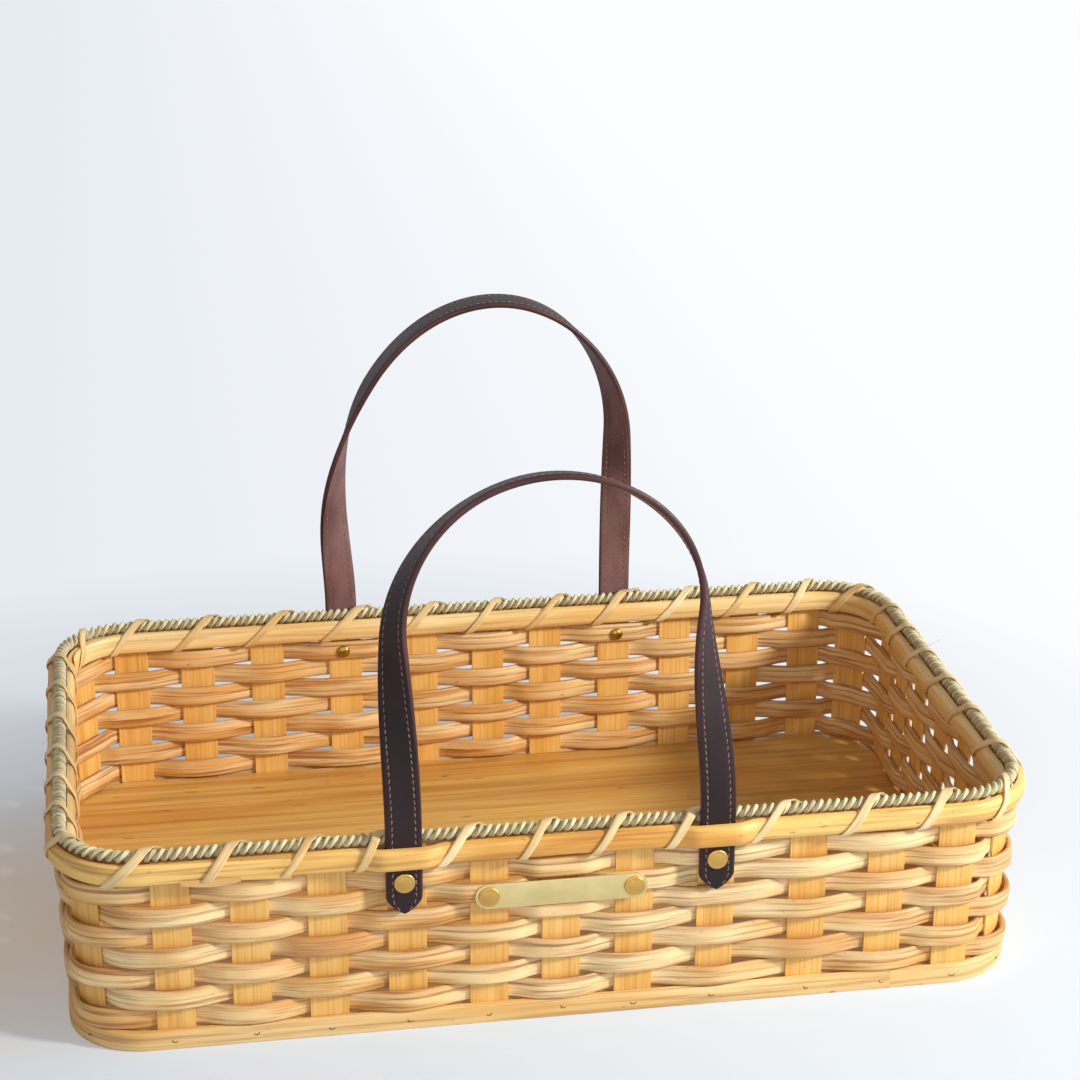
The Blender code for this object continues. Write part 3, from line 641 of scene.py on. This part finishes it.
def lashing_contour(clear):
    """The tight outline round both bands and the rope, as (angle of its normal, offset, height) rows."""
    points = [(side * (BAND_FACE + BAND_DEPTH * through), BAND_MIDDLE + BAND_HALF * up)
              for through, up in half_round(25) for side in (-1, 1)]
    points += [(ROPE_RADIUS * math.cos(t), ROPE_HEIGHT + ROPE_RADIUS * math.sin(t))
               for t in (2 * math.pi * n / 48 for n in range(48))]
    rows = []
    for degrees in range(-86, 268, 4):
        t = math.radians(degrees)
        c, s = math.cos(t), math.sin(t)
        best = max(points, key=lambda p: p[0] * c + p[1] * s)
        rows.append((degrees, best[0] + clear * c, best[1] + clear * s))
    foot = (0.0, RIM_BOTTOM - clear)
    dense = []
    rows = [(-90, *foot)] + rows + [(270, *foot)]
    for near, far in zip(rows, rows[1:]):
        gap = math.dist(near[1:], far[1:])
        parts = max(1, math.ceil(gap / (1.1 * MM)))
        if gap < 0.12 * MM and dense:
            continue
        dense += [tuple(a + (b - a) * n / parts for a, b in zip(near, far)) for n in range(parts)]
    return dense


# How far along its run a loop of cane has gone where its normal has turned so far
ADVANCE = ((-90, 0.0), (-60, 0.04), (60, 0.40), (75, 0.43), (90, 0.455), (110, 0.48), (125, 0.51),
           (240, 0.97), (270, 1.0))
# Beside a strap the cane keeps short of it until it has turned this far, over this share of its run
HELD_UNTIL, HELD_SHARE = 75, 0.43
STRAP_CLEAR = 3.5 * MM
CANE_OUTLINE = ((-2.35, 0.0), (-2.05, 0.36), (-0.9, 0.47), (0.0, 0.5), (0.9, 0.47), (2.05, 0.36), (2.35, 0.0),
                (1.95, -0.36), (0.0, -0.42), (-1.95, -0.36))


def lashing_feet():
    """Where each turn of cane passes under the bands: in the gap between two stakes, towards its start."""
    feet = []
    for k in range(STAKES):
        stop = PLACES[(k + 1) % STAKES] + (PERIMETER if k + 1 == STAKES else 0)
        gap = stop - PLACES[k] - STAKE_WIDTH
        feet.append((PLACES[k] + stop) / 2 - max(0.0, gap - 6.3 * MM) * 0.4)
    return feet + [feet[0] + PERIMETER]


def make_lashings(surface):
    """Flat cane wound round bands and rope, one slanting turn in each gap between stakes."""
    contour = lashing_contour(0.75 * MM)
    feet = lashing_feet()
    dice = random.Random(23)
    angles = np.array([row[0] for row in contour])
    travel = travelled([row[1:] for row in contour])
    knots = [float(np.interp(angle, angles, travel)) for angle, _ in ADVANCE]
    for piece, name in enumerate(("rim_lashing_front_right", "rim_lashing_back_left")):
        places, normals, widths = [], [], []
        for index in range(19 * piece, 19 * piece + 19):
            start, run = feet[index], feet[index + 1] - feet[index]
            ahead = [place for place in STRAP_PLACES if start < place < start + run]
            room = ahead[0] - start - STRAP_HALF - STRAP_CLEAR if ahead else run
            kept = min(1.0, room / (HELD_SHARE * run))
            shares = [share * (kept if angle <= HELD_UNTIL else 1.0) for angle, share in ADVANCE]
            sway, wide = (0.0 if ahead else dice.uniform(-1.3, 1.3) * MM), dice.uniform(0.9, 1.14)
            for (angle, offset, height), gone in zip(contour, travel):
                u = start + run * float(np.interp(gone, knots, shares))
                u += sway * math.sin(math.pi * gone / travel[-1])
                follow = bulge(u) * (1 - smooth((angle - 35) / 50)) if angle > -90 and offset > 0 else 0.0
                places.append(wall_point(u, offset + follow * (1.0 if offset > 0.001 else 0.0), height))
                _, _, ox, oy = station(u)
                c, s = math.cos(math.radians(angle)), math.sin(math.radians(angle))
                normals.append((ox * c, oy * c, s))
                widths.append(wide)
        places, normals = np.array(places)[1:], np.array(normals)[1:]
        ahead = np.gradient(places, axis=0)
        ahead /= np.linalg.norm(ahead, axis=1)[:, None]
        normals -= ahead * np.sum(normals * ahead, axis=1)[:, None]
        normals /= np.linalg.norm(normals, axis=1)[:, None]
        side = np.cross(ahead, normals)
        sections = [[p + w * a * MM * wide + n * b * MM for a, b in CANE_OUTLINE]
                    for p, n, w, wide in zip(places, normals, side, widths[1:])]
        across = run_lengths(np.array(CANE_OUTLINE) * MM)
        loft = (sections, travelled(places) + piece * 7, across, False, None)
        build(name.replace("rim_lashing", "cane_lashing"), [loft], surface,
              stands_for=(name,))


# Handles
SEAM_INSET, SEAM_WIDE, SEAM_DEEP = 3.8 * MM, 0.7 * MM, 0.18 * MM
TAB_TIP, TAB_ROUND = RIM_BOTTOM - 27.7 * MM, 10.5 * MM
STITCH_PITCH, STITCH_LENGTH, STITCH_THICK = 4.1 * MM, 2.9 * MM, 0.4 * MM


def strap_outline():
    """The strap's section, with a shallow groove under each row of stitches, and each face's material."""
    w, t = STRAP_HALF, STRAP_THIN
    left = [(-w + 0.28 * MM, t * 0.62), (-w + 0.8 * MM, t), (-w + SEAM_INSET - SEAM_WIDE, t),
            (-w + SEAM_INSET, t - SEAM_DEEP), (-w + SEAM_INSET + SEAM_WIDE, t), (-w * 0.35, t + 0.05 * MM)]
    face = left + [(-a, b) for a, b in reversed(left)]
    outline = [(-w, 0.0)] + face + [(w, 0.0)] + [(a, -b) for a, b in reversed(face)]
    n = len(face)
    kinds = [2, 2] + [0] * (n - 3) + [2, 2, 2, 2] + [1] * (n - 3) + [2, 2]
    return outline, kinds


def loop_path(half_span, loop):
    """The loop's middle line above its hinges, with its direction at each point."""
    sways, springs, _, crown_shift, crown, _ = loop
    top = Vector((crown_shift, 0, crown - STRAP_THIN))
    halves = []
    for end, sway, spring in zip((-half_span, half_span), sways, springs):
        half = []
        for step in range(40):
            half.append(Vector((end + sway * smooth(step / 40), 0, HINGE + (spring - HINGE) * step / 40)))
        for step in range(48):
            angle = QUARTER * step / 48
            half.append(Vector((crown_shift + (end + sway - crown_shift) * math.cos(angle), 0,
                                spring + (top.z - spring) * math.sin(angle))))
        halves.append(half)
    points = halves[0] + [top] + halves[1][::-1]
    inner = [(after - before).normalized() for before, after in zip(points, points[2:])]
    return points, [Vector((0, 0, 1))] + inner + [Vector((0, 0, -1))]


def strap_rows(ends, loop, away):
    """Rows of (place, width direction, facing, share of the full width) from one tab's tip to the other's."""
    levels = []
    height = TAB_TIP
    while height < HINGE - 0.4 * MM:
        levels.append(height)
        height += (0.7 if height < TAB_TIP + TAB_ROUND else 1.2) * MM

    def tab(end):
        rows = []
        for height in levels:
            place = Vector(wall_point(end, STRAP_CENTRE, height))
            t = min(1.0, (height - TAB_TIP) / TAB_ROUND)
            rows.append((place, 0.03 + 0.97 * math.sin(QUARTER * t) ** 0.85))
        return rows

    left, right = (Vector(wall_point(end, STRAP_CENTRE, HINGE)) for end in ends)
    hinge, out = (left + right) / 2, Vector((0, away, 0))
    tilt = Vector((0, away * LEAN, 1)).normalized()
    rows = [(place, tilt.cross(out), out, share) for place, share in tab(ends[0])]
    points, tangents = loop_path(abs(right.x - left.x) / 2, loop)
    gone = travelled(points)
    for point, far, tangent in zip(points, gone, tangents):
        twist = loop[5] * smooth(min(far / loop[2][0], (gone[-1] - far) / loop[2][1]))
        facing = out * math.cos(twist) + Vector((-tangent.z, 0, tangent.x)) * math.sin(twist)
        place = Vector((hinge.x + point.x, hinge.y, point.z))
        rows.append((place, tangent.cross(facing), facing, 1.0))
    rows += [(place, (-tilt).cross(out), out, share) for place, share in reversed(tab(ends[1]))]
    return rows


def stitch_rings(middle, front, ahead, side):
    """One stitch: a short rounded bar that slants a little across the seam."""
    across = np.cross(front, ahead)
    ahead = ahead + across * 0.12 * side
    rings = []
    for step, size in ((-1.0, 0.25), (-0.75, 0.8), (0.0, 1.0), (0.75, 0.8), (1.0, 0.25)):
        centre = middle + ahead * step * STITCH_LENGTH / 2 + front * 0.04 * MM
        thick = STITCH_THICK * size
        rings.append([centre + across * thick * math.cos(t) + front * thick * 0.75 * math.sin(t)
                      for t in (QUARTER * 2 / 3 * m for m in range(6))])
    return rings


def make_stitches(name, rows, gone, surface, seed):
    """Two seams on each face of a strap, from one tab's tip to the other's."""
    places, widths, facings = (np.array([tuple(row[n]) for row in rows]) for n in range(3))
    shares = np.array([row[3] for row in rows])

    def at(s, side, face):
        place, wide, front = (np.array([np.interp(s, gone, values[:, n]) for n in range(3)])
                              for values in (places, widths, facings))
        front /= np.linalg.norm(front)
        reach = (STRAP_HALF - SEAM_INSET) * float(np.interp(s, gone, shares))
        return place + wide * side * reach + front * face * (STRAP_THIN - 0.1 * MM), front * face

    bodies = []
    dice, margin, near = random.Random(seed), 3.2 * MM, 0.8 * MM
    for side in (-1, 1):
        for face in (-1, 1):
            s = margin
            while s < gone[-1] - margin:
                middle, front = at(s, side, face)
                ahead = at(s + near, side, face)[0] - at(s - near, side, face)[0]
                ahead /= np.linalg.norm(ahead)
                rings = stitch_rings(middle, front, ahead, side)
                bodies.append((rings, [s + n * 0.5 * MM for n in range(5)], [0.3 * MM * n for n in range(7)],
                               False, None))
                s += STITCH_PITCH * dice.uniform(0.96, 1.04)
    return build(name, bodies, surface, body=None, sharp=80)


def make_handle(wall, ends, loop, away, surfaces, stitch):
    """One strap from tab to tab with its stitches."""
    rows = strap_rows(ends, loop, away)
    outline, kinds = strap_outline()
    sections = [[tuple(place + width * (a * share) + facing * b) for a, b in outline]
                for place, width, facing, share in rows]
    gone = travelled([row[0] for row in rows])
    loft = (sections, gone, run_lengths(outline), False, kinds)
    strap = build(f"{wall}_strap", [loft], surfaces, body=None, sharp=75,
                  stands_for=(f"{wall}_handle_strap", f"{wall}_strap_tab_left", f"{wall}_strap_tab_right"))
    seam = make_stitches(f"{wall}_strap_stitches", rows, gone, stitch, len(wall))
    y = wall_point(ends[0], STRAP_CENTRE, HINGE)[1]
    for piece in (strap, seam):
        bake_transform(piece)


def inner_reach(stake, low, high):
    """How far inside the wall a stake and the rows that pass inside it reach, between two heights."""
    for row in range(1, ROWS + 1):
        bottom = row_bottom(row)
        if bottom < high + CLEAR and low - CLEAR < bottom + ROW_HEIGHT and (row + stake) % 2:
            return REED_REACH
    return STAKE_THIN


def rivet(stake, u, height, seat):
    """A domed cap with a rolled edge outside, its post, and a crowned nut inside, as two lofts."""
    cap, nut, post = 6.0 * MM, 4.2 * MM, 1.8 * MM
    face = -inner_reach(stake, height - nut, height + nut) - CLEAR
    outside = [(face, post), (seat - 0.2 * MM, post)]
    outside += [(seat + out * MM, cap * share) for out, share in (
        (-0.15, 0.86), (0.0, 0.97), (0.35, 1.0), (0.75, 0.985), (1.1, 0.93), (1.22, 0.86), (1.12, 0.79),
        (1.2, 0.7), (1.5, 0.5), (1.7, 0.28), (1.76, 0.06))]
    inside = [(face - deep * MM, nut * share) for deep, share in (
        (-0.2, 0.9), (0.3, 1.0), (0.8, 0.98), (1.3, 0.84), (1.8, 0.66), (2.25, 0.4), (2.4, 0.08))]
    return turned(u, height, outside), turned(u, height, inside)


def make_rivets(kind, spots, seat, cap_brass, nut_brass):
    """Caps as one piece and nuts as another, for rivets at (stake, u, height)."""
    pairs = [rivet(stake, u, height, seat) for stake, u, height in spots]
    build(f"{kind}_rivet_caps", [outside for outside, _ in pairs], cap_brass, sharp=40)
    build(f"{kind}_rivet_nuts", [inside for _, inside in pairs], nut_brass, sharp=40)


def make_metal(cap_brass, nut_brass, plate_brass):
    """The handles' rivets, and the bare plate with its two."""
    spots = [(stake, place, RIM_BOTTOM - 8.5 * MM) for stake, place in zip(STRAP_STAKES, STRAP_PLACES)]
    make_rivets("handle", spots, STRAP_CENTRE + STRAP_THIN, cap_brass, nut_brass)
    stakes = (PLATE_STAKES[0], PLATE_STAKES[-1])
    ends = [PLACES[stake] - 0.8 * MM for stake in stakes]
    middle, radius, face, thick = RIM_BOTTOM - 22.7 * MM, 7.75 * MM, 4.5 * MM, 0.8 * MM
    sections = []
    for offset, inset in ((face, 0.12 * MM), (face + 0.12 * MM, 0.0), (face + thick - 0.2 * MM, 0.0),
                          (face + thick - 0.05 * MM, 0.07 * MM), (face + thick, 0.25 * MM)):
        ring = []
        for end, facing in ((ends[1], -QUARTER), (ends[0], QUARTER)):
            for step in range(17):
                angle = facing + math.pi * step / 16
                ring.append(wall_point(end + (radius - inset) * math.cos(angle), offset,
                                       middle + (radius - inset) * math.sin(angle)))
        sections.append(ring)
    count = len(sections[0])
    loft = (sections, [0, 0.2 * MM, 0.7 * MM, 0.9 * MM, 1.1 * MM], [n * 6 * MM for n in range(count + 1)],
            False, None)
    build("bare_plate", [loft], plate_brass, stands_for=("label_plate",), sharp=35)
    spots = [(stake, end, middle) for stake, end in zip(stakes, ends)]
    make_rivets("plate", spots, face + thick, cap_brass, nut_brass)


# Stage
def make_floor():
    """Pale paper under the basket's shadow, with a painted warm bounce of light at its left end, as if thrown
    back by the weave.

    Away from the basket the camera sees a glow instead, with painted shade that makes it greyer at the left.
    """
    mesh = bpy.data.meshes.new("floor")
    reach, steps = 9.0, 12
    wide = steps + 1
    points = [(-reach + 2 * reach * i / steps, -reach + 2 * reach * j / steps, 0.0)
              for j in range(wide) for i in range(wide)]
    corners = [j * wide + i for j in range(steps) for i in range(steps)]
    faces = [(n, n + 1, n + 1 + wide, n + wide) for n in corners]
    mesh.from_pydata(points, [], faces)
    floor = bpy.data.objects.new("floor", mesh)
    bpy.context.scene.collection.objects.link(floor)
    s = Surface("floor_paper", 0.9, Specular_IOR_Level=0.0)
    spot = s.node("ShaderNodeTexCoord").outputs["Object"]
    split = s.node("ShaderNodeSeparateXYZ", {0: spot})
    across = s.math("ADD", s.math("MULTIPLY", split.outputs[0], 0.8), 0.5)
    # Painted shade: the glow grows greyer towards the left, as if the light came from the right
    side = s.ramp(across, (0.22, tone(230, 235, 241)), (0.54, tone(240, 244, 249)),
                  (0.92, tone(253, 254, 255)))
    grey = s.noise((3, 3, 3), 2, 0.5, source="Object")
    colour = s.mix(s.ramp(grey, (0.3, 0.0), (0.7, 0.03)), tone(223, 236, 250), tone(198, 209, 223))

    def distance(x, y):
        moved = s.node("ShaderNodeVectorMath", {0: spot, 1: (-x, -y, 0.0)}, operation="ADD").outputs["Vector"]
        return s.node("ShaderNodeVectorMath", {0: moved}, operation="LENGTH").outputs["Value"]

    far = s.ramp(distance(-0.08, -0.12), (0.34, 0.3), (0.72, 1.0))
    # Painted light: a warm bounce from the weave near the basket's left end, in both the paper's colour and
    # the glow
    painted_bounce = s.ramp(distance(-0.33, 0.0), (0.05, 0.6), (0.2, 0.0))
    s.finish(s.mix(painted_bounce, colour, tone(236, 206, 168)))
    glow = s.node("ShaderNodeEmission", {"Color": s.mix(painted_bounce, side, tone(220, 202, 178)), "Strength": 1.0})
    rays = s.node("ShaderNodeLightPath")
    lifted = s.math("MULTIPLY", rays.outputs["Is Camera Ray"], far)
    both = s.node("ShaderNodeMixShader", {0: lifted, 1: s.shader.outputs[0], 2: glow.outputs[0]})
    out = next(n for n in s.tree.nodes if n.type == "OUTPUT_MATERIAL")
    s.tree.links.new(both.outputs[0], out.inputs["Surface"])
    mesh.materials.append(s.material)


def make_world():
    """A plain warm light all round, which the camera and reflections see as a pale backdrop."""
    world = bpy.data.worlds.new("studio")
    bpy.context.scene.world = world
    world.use_nodes = True
    tree = world.node_tree
    tree.nodes.clear()
    rays, seen, lit, shown, both, out = (tree.nodes.new("ShaderNode" + kind) for kind in (
        "LightPath", "Math", "Background", "Background", "MixShader", "OutputWorld"))
    seen.operation = "MAXIMUM"
    lit.inputs[0].default_value = (1.0, 0.94, 0.87, 1.0)
    lit.inputs[1].default_value = 0.29
    shown.inputs[0].default_value = tone(243, 246, 250)
    shown.inputs[1].default_value = 1.0
    for source, output, target, socket in (
            (rays, "Is Camera Ray", seen, 0), (rays, "Is Glossy Ray", seen, 1), (seen, 0, both, 0),
            (lit, 0, both, 1), (shown, 0, both, 2), (both, 0, out, 0)):
        tree.links.new(source.outputs[output], target.inputs[socket])


def make_lamp(name, place, size, power, colour):
    """A round soft lamp that faces the basket."""
    target = (0, 0, 0.05)
    lamp = bpy.data.lights.new(name, "AREA")
    lamp.shape, lamp.size, lamp.energy, lamp.color = "DISK", size, power, colour
    made = bpy.data.objects.new(name, lamp)
    made.location = place
    made.rotation_mode = "QUATERNION"
    made.rotation_quaternion = (Vector(target) - Vector(place)).to_track_quat("-Z", "Y")
    bpy.context.scene.collection.objects.link(made)


def make_camera():
    """The photograph's own view, as fitted to the stakes, the rim, the base, the board and both ends."""
    yaw, pitch, roll = math.radians(-9.55), math.radians(20.73), -0.0015
    turn = Matrix.Rotation(yaw, 3, "Z") @ Matrix.Rotation(-pitch, 3, "X") @ Matrix.Rotation(roll, 3, "Y")
    ahead, right, up = (turn @ Vector(axis) for axis in ((0, 1, 0), (1, 0, 0), (0, 0, 1)))
    lens = bpy.data.cameras.new("camera")
    lens.lens, lens.sensor_width, lens.shift_y = 87.733, 36.0, 0.00861
    lens.clip_start, lens.clip_end = 0.05, 60.0
    camera = bpy.data.objects.new("camera", lens)
    camera.matrix_world = Matrix((
        (right.x, up.x, -ahead.x, -0.2280),
        (right.y, up.y, -ahead.y, -1.4513),
        (right.z, up.z, -ahead.z, 0.7783),
        (0, 0, 0, 1)))
    bpy.context.scene.collection.objects.link(camera)
    bpy.context.scene.camera = camera


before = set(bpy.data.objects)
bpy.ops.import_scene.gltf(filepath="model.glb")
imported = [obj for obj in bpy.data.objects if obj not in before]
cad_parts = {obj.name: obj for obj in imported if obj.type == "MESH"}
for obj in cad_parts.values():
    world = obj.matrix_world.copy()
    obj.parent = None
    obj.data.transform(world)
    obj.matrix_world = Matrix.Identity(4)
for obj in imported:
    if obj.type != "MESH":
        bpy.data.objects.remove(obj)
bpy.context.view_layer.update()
bpy.context.scene.view_settings.view_transform = "Standard"

make_camera()
make_world()
make_floor()
make_lamp("key", (1.65, -0.95, 1.06), 0.35, 49.5, (1.0, 0.985, 0.95))
make_lamp("fill", (-0.4, -1.85, 0.75), 1.3, 7.5, (1.0, 0.99, 0.97))

make_rows()
make_stakes(wood("stake_wood_dressed", (244, 196, 112), (230, 172, 84), (168, 104, 36), along=9, across=700,
                 lines=0.35, flecks=0.25, roughness=0.5, strength=0.3))
band_wood = wood("rim_wood_dressed", (250, 206, 120), (224, 162, 70), (148, 78, 22), along=10, across=300,
                 lines=0.55, flecks=0.7, fleck=(150, 78, 28), roughness=0.45, strength=0.35)
inner_wood = wood("inner_rim_wood", (252, 224, 160), (240, 196, 120), (166, 98, 38), along=10, across=300,
                  lines=0.4, flecks=0.5, fleck=(150, 78, 28), roughness=0.45, strength=0.35)
make_bands(band_wood, inner_wood,
           wood("shaving_wood", (236, 200, 140), (222, 172, 100), (176, 116, 60), lines=0.3, flecks=0.2))
make_base_band(wood("base_wood_dressed", (242, 208, 148), (226, 180, 108), (156, 98, 44), along=9, across=300,
                    lines=0.55, flecks=0.7, fleck=(160, 92, 44), roughness=0.55),
               brass("brad_steel", (112, 74, 46), 0.5, 0.1, 0.4))
# The second rope material is a darker copy of the first: painted shade on one strand
make_rope(rope_fibre("rope_pale", (246, 236, 200), (186, 174, 132)),
          rope_fibre("rope_painted_shade", (230, 218, 178), (150, 138, 98)))
make_stray_fibres(rope_fibre("rope_hair", (190, 180, 140), (130, 120, 90)))
make_lashings(wood("lashing_cane_dressed", (244, 220, 168), (226, 188, 122), (172, 120, 60), along=14,
                   across=520, lines=0.35, flecks=0.3, roughness=0.42, strength=0.3))
outer_leather = leather("strap_outer", (30, 14, 15), (44, 24, 26), 0.46)
lining_leather = leather("strap_lining", (98, 68, 66), (134, 101, 98), 0.45)
edge_paint = leather("strap_edge", (62, 34, 33), (84, 50, 46), 0.45)
stitch_thread = thread("strap_thread")
handle_surfaces = [outer_leather, lining_leather, edge_paint]
make_handle("front", STRAP_PLACES[:2], FRONT_LOOP, -1, handle_surfaces, stitch_thread)
make_handle("rear", STRAP_PLACES[2:], REAR_LOOP, 1, handle_surfaces, stitch_thread)
make_metal(brass("rivet_brass_dressed", (218, 172, 92), 0.36), brass("nut_brass", (176, 136, 62), 0.3),
           brass("plate_brass_dressed", (236, 214, 150), 0.42, 0.1))

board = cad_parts["base_board"]
board.data.materials.clear()
board.data.materials.append(wood("board_ply", (236, 189, 104), (211, 150, 66), (140, 82, 26), along=4,
                                 across=180, lines=0.42, fine=0.28, flecks=0.6, fleck=(112, 66, 28),
                                 roughness=0.38, strength=0.2, source="Object"))
